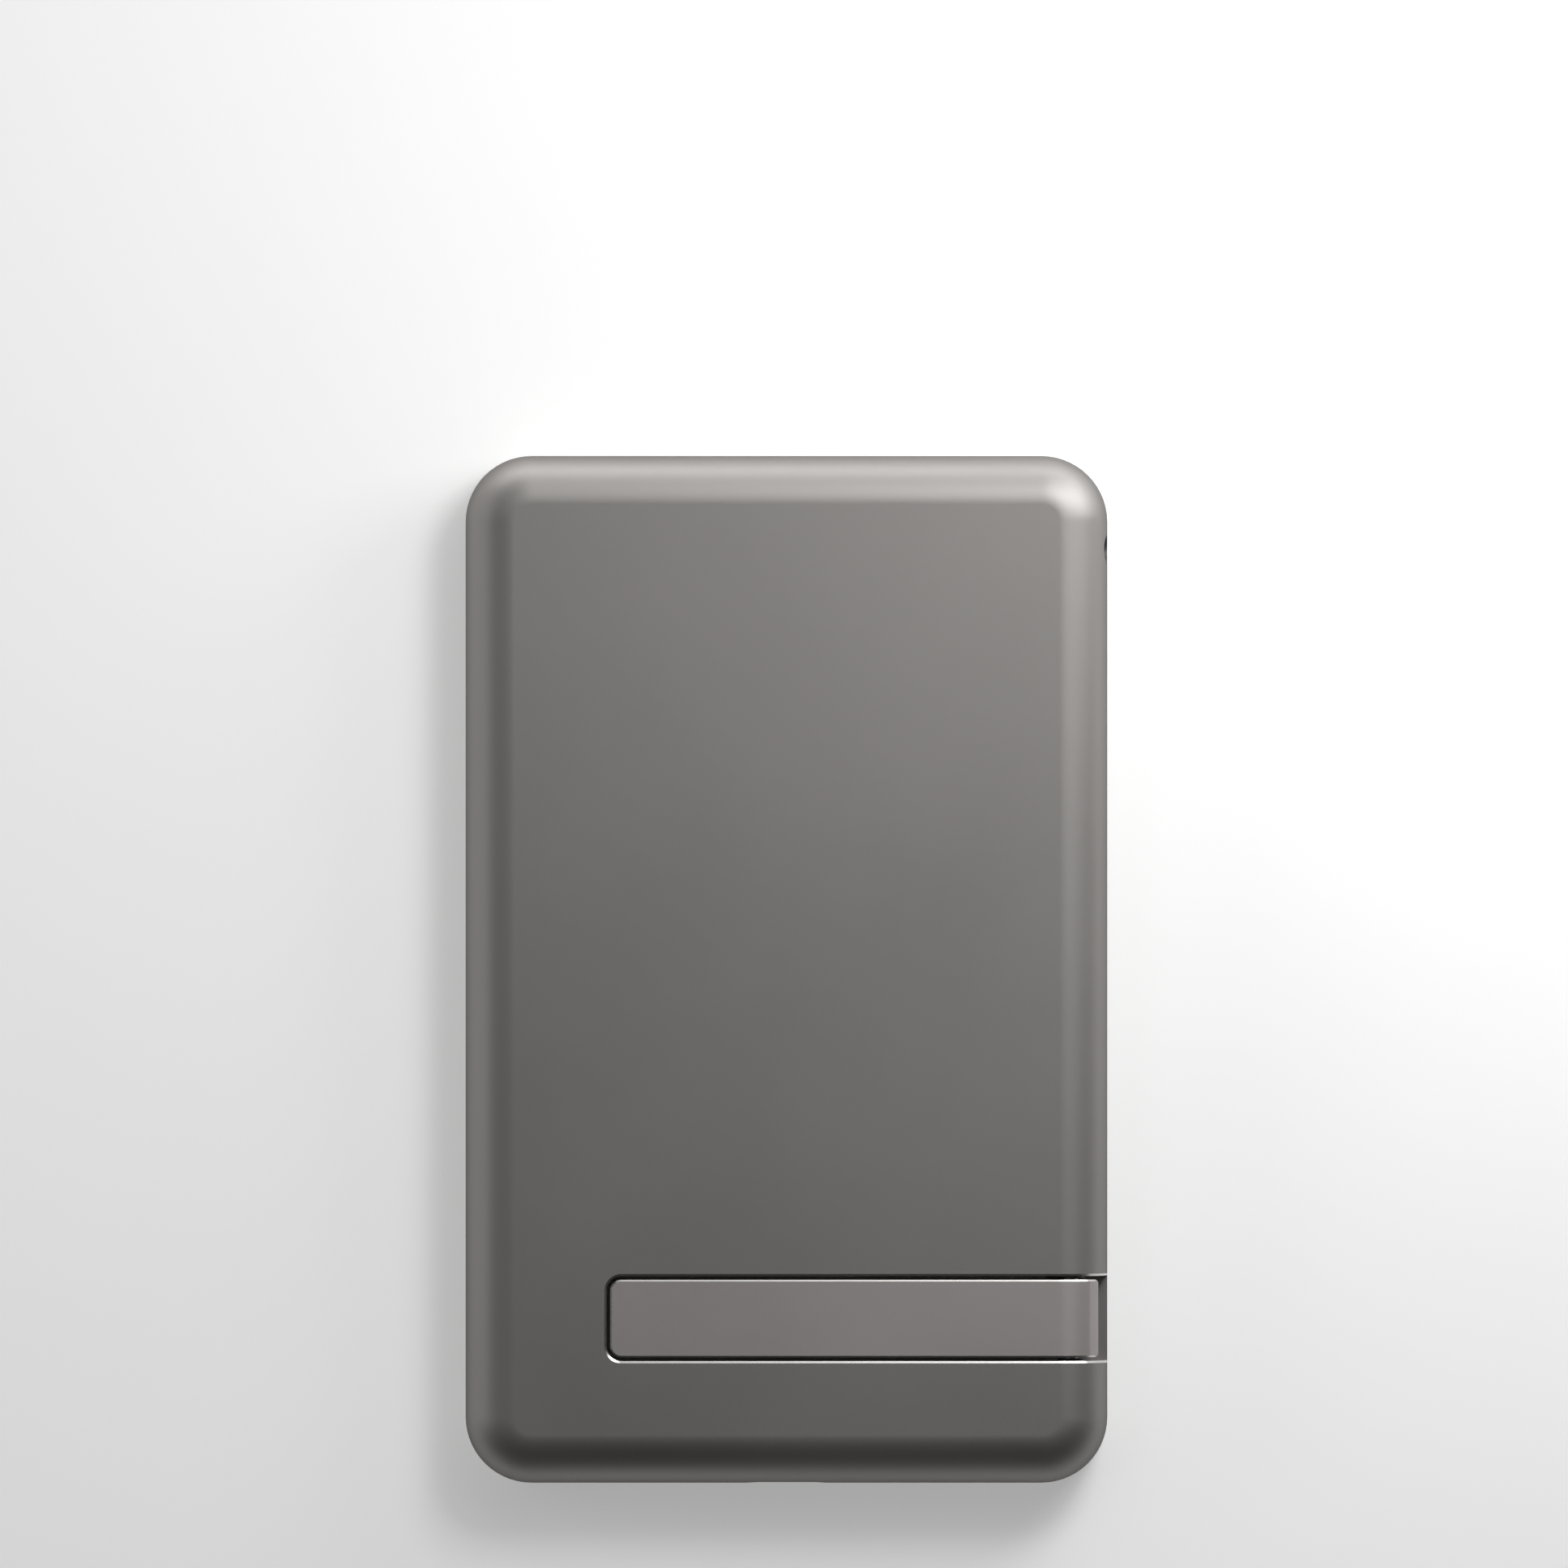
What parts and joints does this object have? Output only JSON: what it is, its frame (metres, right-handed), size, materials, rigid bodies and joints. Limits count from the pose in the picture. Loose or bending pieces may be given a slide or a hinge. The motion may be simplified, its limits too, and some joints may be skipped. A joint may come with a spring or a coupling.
{
  "type": "magnetic wireless power bank",
  "caption": "Slim magnetic wireless power bank with a soft edged metal body, a flip out kickstand leg in its outer face and a small round power button.",
  "frame": {"origin": "centre of the resting face, which is the flat side that holds on to a phone", "axes": "+Z out of the outer face with the kickstand, +Y along the length towards the end away from the charging port, +X towards the side with the power button"},
  "size_m": [0.07, 0.112, 0.011],
  "materials": {
    "body_metal": "fine blasted and anodised, satin, warm titanium grey",
    "leg_metal": "fine blasted and anodised, satin, slightly lighter and warmer than the body",
    "soft_panel": "soft touch coating, matte",
    "adhesive": "matte adhesive foam",
    "frame_plastic": "moulded, lightly textured",
    "steel": "satin",
    "socket_steel": "satin",
    "nickel": "nickel plated",
    "copper": "enamelled copper wire",
    "ferrite": "sintered, dull",
    "cell_foil": "laminated foil, satin",
    "board": "green solder resist",
    "graphite": "dull graphite film",
    "foam": "open cell foam",
    "black_plastic": "moulded, matte",
    "ceramic_tan": "fired ceramic",
    "clear_plastic": "milky clear moulding",
    "flex_film": "amber polyimide film"
  },
  "bodies": {
    "bank": {"shell": "body_metal", "phone_side_panel": "soft_panel", "panel_adhesive": "adhesive", "inner_frame": "frame_plastic", "frame_screws": "steel", "magnet_ring": "nickel", "magnet_back_plate": "steel", "alignment_magnet": "nickel", "charging_coil": "copper", "ferrite_sheet": "ferrite", "coil_leads": "copper", "battery_cell": "cell_foil", "cell_tape": "adhesive", "protection_board": "board", "battery_straps": "nickel", "graphite_sheet": "graphite", "foam_pads": "foam", "main_board": "board", "board_screws": "steel", "usb_c_shell": "socket_steel", "usb_c_tongue": "black_plastic", "power_inductor": "ferrite", "controller_chips": "black_plastic", "capacitors": "ceramic_tan", "light_chips": "ceramic_tan", "light_guide": "clear_plastic", "button_flex": "flex_film", "button_switch": "socket_steel", "hinge_pin": "steel", "pin_clips": "steel", "friction_washers": "black_plastic"},
    "stand": {"kickstand_leg": "leg_metal"},
    "button": {"power_button": "body_metal", "switch_plunger": "black_plastic"}
  },
  "joints": [
    {"name": "kickstand_hinge", "type": "hinge", "parent": "bank", "child": "stand", "pos_m": [0.031, -0.038, 0.00835], "axis": [0, 1, 0], "range_deg": [0, 105]},
    {"name": "power_button_press", "type": "slide", "parent": "bank", "child": "button", "axis": [-1, 0, 0], "range_m": [0, 0.00025], "stiffness_N_per_m": 3000, "springref_m": -0.0001}
  ]
}
